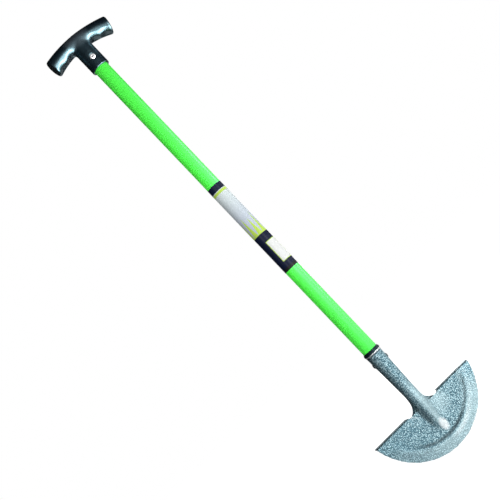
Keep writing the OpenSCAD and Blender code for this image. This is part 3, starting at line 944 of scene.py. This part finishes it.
@dataclass
class Shaft:
    """The steel tube with its plastic sleeve, the label and the collar at the socket's mouth."""

    coat: bpy.types.Material
    film: bpy.types.Material
    collar: bpy.types.Material
    steel: bpy.types.Material
    tube_r: float = 12.7 * MM
    coat_in_r: float = 12.75 * MM
    coat_r: float = 13.55 * MM
    coat_bottom: float = 201.0 * MM
    coat_top: float = 906.2 * MM
    coat_round: float = 0.2 * MM
    label_gap: float = 4.0 * MM
    label_in_r: float = 13.6 * MM
    label_t: float = 0.2 * MM
    collar_r: float = 15.7 * MM
    collar_h: float = 4.0 * MM
    collar_floor: float = 2.0 * MM
    collar_round: float = 0.4 * MM
    lip_r: float = 14.6 * MM
    lip_h: float = 2.0 * MM
    fit: float = 0.15 * MM

    def build(self) -> None:
        """Makes every piece on the shaft."""
        dress_node("shaft_tube", self.steel)
        self.build_sleeve()
        self.build_label()
        self.build_collar()

    def build_sleeve(self) -> None:
        """Turns the sleeve, with its cut ends softened."""
        wall = [
            (self.coat_in_r, self.coat_bottom),
            (self.coat_r, self.coat_bottom),
            (self.coat_r, self.coat_top),
            (self.coat_in_r, self.coat_top),
        ]
        mesh = turned(wall, Axis.SHAFT, Vector(), self.coat_round)
        new_piece("green_sleeve", mesh, "shaft_coat", self.coat)

    def build_label(self) -> None:
        """Wraps the film round the sleeve, open at the back."""
        out_r = self.label_in_r + self.label_t
        top = LABEL_Z + LABEL_LEN
        wall = [(self.label_in_r, LABEL_Z), (out_r, LABEL_Z), (out_r, top), (self.label_in_r, top)]
        gap = self.label_gap / self.label_in_r
        mesh = turned(wall, Axis.SHAFT, Vector(), 0.0, FULL_TURN - gap)
        start = Matrix.Rotation(math.pi / 2.0 + gap / 2.0, 3, "Z")
        bmesh.ops.rotate(mesh, verts=mesh.verts, cent=Vector(), matrix=start)
        new_piece("wrapped_label", mesh, "label", self.film)

    def build_collar(self) -> None:
        """Turns the collar: a flange on the socket's mouth and a thin lip round the sleeve."""
        shoulder = MOUTH_Z + self.collar_h
        outline = [
            (self.tube_r + self.fit, MOUTH_Z),
            (self.collar_r, MOUTH_Z),
            (self.collar_r, shoulder),
            (self.lip_r, shoulder),
            (self.lip_r, shoulder + self.lip_h),
            (self.coat_r + self.fit, shoulder + self.lip_h),
            (self.coat_r + self.fit, MOUTH_Z + self.collar_floor),
            (self.tube_r + self.fit, MOUTH_Z + self.collar_floor),
        ]
        mesh = turned(outline, Axis.SHAFT, Vector(), self.collar_round)
        new_piece("mouth_collar", mesh, "collar", self.collar)


@dataclass
class Handle:
    """The moulded T-handle and the blind rivet that holds it."""

    plastic: bpy.types.Material
    aluminium: bpy.types.Material
    # Finish of the mandrel, nearly black as painted shade in the rivet's bore
    steel: bpy.types.Material

    # The grip
    grain: float = 0.8 * MM
    soften: int = 6
    soften_share: float = 0.5
    fingers: int = 2
    finger_first: float = 25.0 * MM
    finger_pitch: float = 23.5 * MM
    finger_press: float = 1.5 * MM
    finger_under: Pair = (0.3, 0.85)
    finger_front: Pair = (-0.4, 0.3)
    hub_blend: Pair = mm(888.0, 924.0)
    hub_blend_half: float = 22.0 * MM
    hub_blend_y: float = -6.0 * MM
    hub_rounds: int = 30

    # The blind rivet; its dome passes through shares of the flange's radius at given heights
    rivet_z: float = 874.2 * MM
    seat_y: float = -16.0 * MM
    seat_gap: float = 0.05 * MM
    shank_r: float = 2.4 * MM
    shank_in: float = 9.8 * MM
    hole_r: float = 1.45 * MM
    hole_lip: float = 0.35 * MM
    hole_drop: float = 0.3 * MM
    flange_r: float = 5.0 * MM
    flange_h: float = 1.4 * MM
    flange_in: Pair = mm(0.2, 0.1)
    flange_edge: float = 0.45 * MM
    dome: tuple[Pair, Pair] = ((0.78, 1.05 * MM), (0.5, 1.32 * MM))
    rivet_round: float = 0.12 * MM
    rivet_steps: int = 64

    def build(self) -> None:
        """Makes the handle and its rivet."""
        self.build_grip()
        self.build_rivet()
        dress_node("rivet_mandrel", self.steel)

    def build_grip(self) -> None:
        """Moulds the grip from its solid, with every cusp and corner softened."""
        rough = bpy.data.meshes.new("grip_blank")
        joined = merged_copy("handle")
        joined.to_mesh(rough)
        joined.free()
        blank = bpy.data.objects.new("grip_blank", rough)
        bpy.context.scene.collection.objects.link(blank)
        remesh = blank.modifiers.new("even", "REMESH")
        remesh.mode = "VOXEL"
        remesh.voxel_size = self.grain
        depsgraph = bpy.context.evaluated_depsgraph_get()
        mesh = bmesh.new()
        mesh.from_mesh(blank.evaluated_get(depsgraph).to_mesh())
        bpy.data.objects.remove(blank)
        bpy.data.meshes.remove(rough)
        self.smooth(mesh, mesh.verts[:], self.soften)
        self.press_fingers(mesh)
        self.blend_hub(mesh)
        new_piece("moulded_grip", mesh, "handle", self.plastic)

    def smooth(self, mesh: bmesh.types.BMesh, verts: list[bmesh.types.BMVert], rounds: int) -> None:
        """Softens some of the grip's corners.

        Args:
            mesh: The grip.
            verts: Corners to move.
            rounds: How often.
        """
        for _ in range(rounds):
            bmesh.ops.smooth_vert(mesh, verts=verts, factor=self.soften_share,
                                  use_axis_x=True, use_axis_y=True, use_axis_z=True)

    def press_fingers(self, mesh: bmesh.types.BMesh) -> None:
        """Deepens the finger grooves towards the front of the grip's underside.

        Args:
            mesh: The grip.
        """
        mesh.normal_update()
        for vert in mesh.verts:
            groove = (abs(vert.co.x) - self.finger_first) / self.finger_pitch
            if not -0.5 < groove < self.fingers - 0.5:
                continue
            wave = 0.5 + 0.5 * math.cos(FULL_TURN * groove)
            under = smooth_step(-vert.normal.z, *self.finger_under)
            front = smooth_step(-vert.normal.y, *self.finger_front)
            vert.co -= vert.normal * (self.finger_press * wave * under * front)
        self.smooth(mesh, mesh.verts[:], 1)

    def blend_hub(self, mesh: bmesh.types.BMesh) -> None:
        """Runs the front of the hub softly into the bar.

        Args:
            mesh: The grip.
        """
        low, high = self.hub_blend
        front = [v for v in mesh.verts if v.co.y < self.hub_blend_y and low < v.co.z < high]
        near = [v for v in front if abs(v.co.x) < self.hub_blend_half]
        self.smooth(mesh, near, self.hub_rounds)

    def build_rivet(self) -> None:
        """Turns the blind rivet with its low dome and the open bore that the mandrel broke off in."""
        outline = [
            (self.hole_r, -self.shank_in),
            (self.shank_r, -self.shank_in),
            (self.shank_r, self.seat_gap),
            (self.flange_r - self.flange_in[0], self.seat_gap),
            (self.flange_r - self.flange_in[1], self.flange_edge),
            *[(self.flange_r * share, height) for share, height in self.dome],
            (self.hole_r + self.hole_lip, self.flange_h),
            (self.hole_r, self.flange_h - self.hole_drop),
        ]
        seat = Vector((0.0, self.seat_y, self.rivet_z))
        mesh = turned(outline, Axis.FRONT, seat, self.rivet_round, steps=self.rivet_steps)
        new_piece("blind_rivet_body", mesh, "blind_rivet", self.aluminium)


@dataclass
class Lamp:
    """One soft area lamp; it may reach named pieces alone, and only light them or only be mirrored."""

    name: str
    place: Point
    aim: Point
    size: Pair
    power: float
    spread: float = math.pi
    reaches: tuple[str, ...] = ()
    lights: bool = True
    mirrored: bool = True

    def build(self) -> None:
        """Hangs the lamp and turns it to its aim."""
        data = bpy.data.lights.new(self.name, "AREA")
        data.shape = "RECTANGLE"
        data.size, data.size_y = self.size
        data.energy = self.power
        data.spread = self.spread
        lamp = bpy.data.objects.new(self.name, data)
        bpy.context.scene.collection.objects.link(lamp)
        lamp.location = self.place
        towards = Vector(self.aim) - Vector(self.place)
        lamp.rotation_euler = towards.to_track_quat("-Z", "Y").to_euler()
        lamp.visible_camera = False
        lamp.visible_diffuse = self.lights
        lamp.visible_glossy = self.mirrored
        if self.reaches:
            group = bpy.data.collections.new(f"{self.name}_pieces")
            for piece in self.reaches:
                group.objects.link(bpy.data.objects[piece])
            lamp.light_linking.receiver_collection = group


@dataclass
class Card:
    """One black card that keeps part of the white surround out of the reflections."""

    name: str
    corners: Sequence[Point]

    def build(self, material: bpy.types.Material) -> None:
        """Hangs the card out of the camera's sight.

        Args:
            material: The card's black.
        """
        data = bpy.data.meshes.new(self.name)
        data.from_pydata(self.corners, [], [range(len(self.corners))])
        data.materials.append(material)
        card = bpy.data.objects.new(self.name, data)
        bpy.context.scene.collection.objects.link(card)
        card.visible_camera = False
        card.visible_shadow = False
        card.visible_diffuse = False


def upright(start: Pair, end: Pair, low: float, high: float) -> Sequence[Point]:
    """Corners of a standing card between two floor points."""
    return ((*start, low), (*end, low), (*end, high), (*start, high))


def level(outline: Sequence[Pair], height: float) -> Sequence[Point]:
    """Corners of a lying card over an outline on the floor."""
    return [(x, y, height) for x, y in outline]


def rectangle(x: Pair, y: Pair) -> Sequence[Pair]:
    """Corners of a rectangle on the floor."""
    return ((x[0], y[0]), (x[1], y[0]), (x[1], y[1]), (x[0], y[1]))


@dataclass
class Studio:
    """Pale floor, white surround, soft lamps, black cards and the camera at the photograph's angle."""

    # Camera
    yaw: float = math.radians(10.152)
    tilt: float = math.radians(5.796)
    roll: float = math.radians(-43.5)
    offset: Point = mm(26.071, 1500.0, 15.217)
    aim_z: float = 450.0 * MM
    focal_px: float = 912.235
    image_px: float = 500.0
    sensor: float = 36.0
    sight: float = 50.0

    # Floor and surround
    floor_half: float = 8.0
    floor_drop: float = 0.2 * MM
    floor_white: float = 0.82
    floor_rough: float = 0.9
    floor_glow: float = 0.8
    fill: float = 0.25

    # Cards: a box round the top, a shelf under the handle with a wall behind it, and a mat
    card_grey: float = 0.02
    box_x: Pair = (-0.5, 1.5)
    box_y: Pair = (-1.35, 1.2)
    box_z: Pair = (1.1, 2.2)
    left_foot: float = 0.02
    shelf_z: float = 0.462
    shelf_left: float = -0.3
    shelf_y: Pair = (-0.09, 0.15)
    shelf_rear_x: Pair = (0.02, 0.05)
    wall_left: float = 0.3
    mat_x: Pair = (-0.8, -0.02)
    mat_y: Pair = (0.02, 1.2)
    mat_z: float = 0.005

    def build(self) -> None:
        """Sets up the whole studio."""
        bpy.context.scene.view_settings.view_transform = "Standard"
        self.build_camera()
        self.build_floor()
        self.build_world()
        self.build_lamps()
        self.build_cards()

    def build_lamps(self) -> None:
        """Hangs the lamps, of which some reach the grip or the sleeve alone."""
        grip = ("moulded_grip", "blind_rivet_body")
        sleeve = ("green_sleeve",)
        for lamp in (
            Lamp("key", (0.7, -1.45, 0.45), (0.0, 0.0, 0.48), (0.7, 0.7), 14.6),
            Lamp("right", (1.35, -0.25, 0.35), (0.0, 0.0, 0.35), (0.5, 0.8), 5.0),
            Lamp("side", (-0.75, -1.25, 0.6), (0.0, 0.0, 0.52), (0.4, 0.4), 0.33, spread=math.radians(40.0)),
            Lamp("panel", (0.18, -0.23, 0.465), (0.18, -0.23, 0.92), (0.6, 0.28), 10.0,
                 reaches=grip, lights=False),
            Lamp("panel_front", (0.18, -0.48, 0.465), (0.18, -0.48, 0.92), (0.6, 0.24), 4.0,
                 reaches=grip, lights=False),
            Lamp("sleeve", (-0.9, -1.15, 0.5), (0.0, 0.0, 0.5), (0.4, 0.8), 6.0,
                 reaches=sleeve, mirrored=False),
            Lamp("sleeve_edge", (1.35, -0.3, 0.75), (0.0, 0.0, 0.75), (0.5, 0.8), 12.0,
                 reaches=sleeve, lights=False),
            Lamp("back", (0.9, 1.6, 0.8), (0.0, 0.0, 0.4), (0.8, 0.8), 14.0),
        ):
            lamp.build()

    def build_cards(self) -> None:
        """Hangs the cards, which only shape reflections."""
        left, right = self.box_x
        front, rear = self.box_y
        low, high = self.box_z
        near, far = self.shelf_y
        inner, outer = self.shelf_rear_x
        shelf = [(self.shelf_left, near), (right, near), (right, rear)]
        shelf += [(outer, rear), (inner, far), (self.shelf_left, far)]
        black = self.matt("card_black", self.card_grey, 1.0)
        for card in (
            Card("front_card", upright((left, front), (right, front), low, high)),
            Card("rear_card", upright((left, rear), (right, rear), low, high)),
            Card("right_card", upright((right, front), (right, rear), low, high)),
            Card("left_card", upright((left, front), (left, rear), self.left_foot, high)),
            Card("line_card", level(shelf, self.shelf_z)),
            Card("gap_rear", upright((self.wall_left, rear), (right, rear), self.shelf_z, low)),
            Card("floor_card", level(rectangle(self.mat_x, self.mat_y), self.mat_z)),
            Card("top_card", level(rectangle(self.box_x, self.box_y), high)),
        ):
            card.build(black)

    def matt(self, name: str, grey: float, rough: float) -> bpy.types.Material:
        """A grey without gloss.

        Args:
            name: Name of the material.
            grey: Its level.
            rough: Its roughness.

        Returns:
            The material.
        """
        material = bpy.data.materials.new(name)
        material.use_nodes = True
        shader = material.node_tree.nodes["Principled BSDF"]
        shader.inputs["Base Color"].default_value = (grey, grey, grey, 1.0)
        shader.inputs["Roughness"].default_value = rough
        shader.inputs["Specular IOR Level"].default_value = 0.0
        return material

    def build_camera(self) -> None:
        """Places the camera from its turn, tilt and roll about a point on the shaft."""
        turn = (
            Matrix.Rotation(-self.roll, 3, "Y").transposed()
            @ Matrix.Rotation(-self.tilt, 3, "X")
            @ Matrix.Rotation(self.yaw, 3, "Z")
        )
        back = turn.transposed()
        right, forward, up = back.col[0], back.col[1], back.col[2]
        data = bpy.data.cameras.new("view")
        data.sensor_width = self.sensor
        data.lens = self.sensor * self.focal_px / self.image_px
        data.clip_end = self.sight
        camera = bpy.data.objects.new("view", data)
        bpy.context.scene.collection.objects.link(camera)
        axes = Matrix((right, up, -forward)).transposed()
        spot = Vector((0.0, 0.0, self.aim_z)) - back @ Vector(self.offset)
        camera.matrix_world = Matrix.Translation(spot) @ axes.to_4x4()
        bpy.context.scene.camera = camera

    def build_floor(self) -> None:
        """Lays the floor under the cutting edge: it glows towards the camera and keeps the shadow."""
        mesh = bmesh.new()
        bmesh.ops.create_grid(mesh, x_segments=1, y_segments=1, size=self.floor_half)
        data = bpy.data.meshes.new("floor")
        mesh.to_mesh(data)
        mesh.free()
        material = self.matt("floor_white", self.floor_white, self.floor_rough)
        tree = material.node_tree
        shader = tree.nodes["Principled BSDF"]
        shader.inputs["Emission Color"].default_value = (1.0, 1.0, 1.0, 1.0)
        glow = tree.nodes.new("ShaderNodeMath")
        glow.operation = "MULTIPLY"
        glow.inputs[1].default_value = self.floor_glow
        tree.links.new(self.seen(tree), glow.inputs[0])
        tree.links.new(glow.outputs[0], shader.inputs["Emission Strength"])
        data.materials.append(material)
        floor = bpy.data.objects.new("floor", data)
        bpy.context.scene.collection.objects.link(floor)
        floor.location.z = CAD_BOX[0].z - self.floor_drop

    def build_world(self) -> None:
        """Surrounds the object with white for the camera and reflections, and with soft fill otherwise."""
        world = bpy.data.worlds.new("surround")
        bpy.context.scene.world = world
        world.use_nodes = True
        tree = world.node_tree
        shade = tree.nodes["Background"]
        shade.inputs["Color"].default_value = (1.0, 1.0, 1.0, 1.0)
        strength = tree.nodes.new("ShaderNodeMapRange")
        strength.inputs["To Min"].default_value = self.fill
        strength.inputs["To Max"].default_value = 1.0
        tree.links.new(self.seen(tree), strength.inputs["Value"])
        tree.links.new(strength.outputs[0], shade.inputs["Strength"])

    def seen(self, tree: bpy.types.NodeTree) -> Socket:
        """Whether a ray comes from the camera, a reflection or a clear piece.

        Args:
            tree: Node tree that gets the nodes.

        Returns:
            1 for such a ray.
        """
        path = tree.nodes.new("ShaderNodeLightPath")
        value = path.outputs["Is Camera Ray"]
        for name in ("Is Glossy Ray", "Is Transmission Ray"):
            most = tree.nodes.new("ShaderNodeMath")
            most.operation = "MAXIMUM"
            tree.links.new(value, most.inputs[0])
            tree.links.new(path.outputs[name], most.inputs[1])
            value = most.outputs[0]
        return value


def main() -> None:
    """Builds the edger and its studio in order."""
    logging.basicConfig(level=logging.INFO, format="%(name)s: %(message)s")
    handle_plastic = MouldedPlastic("handle_plastic", gloss=1.0, index=1.65, worn_half=32.0 * MM).make()
    collar_plastic = MouldedPlastic("collar_plastic", rough=0.42, gloss=0.35).make()
    tube_steel = BareMetal("tube_steel", colour=(0.56, 0.57, 0.58), dull=(0.34, 0.33, 0.32),
                           rough=0.38, lay=(300.0, 300.0, 20.0)).make()
    aluminium = BareMetal("rivet_aluminium", colour=(0.88, 0.89, 0.90), dull=(0.74, 0.75, 0.76),
                          rough=0.4, lay=(500.0, 500.0, 500.0), metal=0.6).make()
    # The mandrel's steel is nearly black, as painted shade in the rivet's bore
    mandrel_steel = BareMetal("mandrel_steel", colour=(0.03, 0.03, 0.032), dull=(0.015, 0.014, 0.013),
                              rough=0.5, lay=(600.0, 600.0, 600.0)).make()
    rivet_paint = BareMetal("rivet_paint", colour=(0.07, 0.09, 0.10), dull=(0.03, 0.04, 0.045),
                            rough=0.42, lay=(400.0, 400.0, 400.0), metal=0.4).make()
    BladeHead(HammeredPaint().make(), rivet_paint).build()
    Shaft(GlossCoat().make(), LabelFilm().make(), collar_plastic, tube_steel).build()
    Handle(handle_plastic, aluminium, mandrel_steel).build()
    Studio().build()


if __name__ == "__main__":
    main()
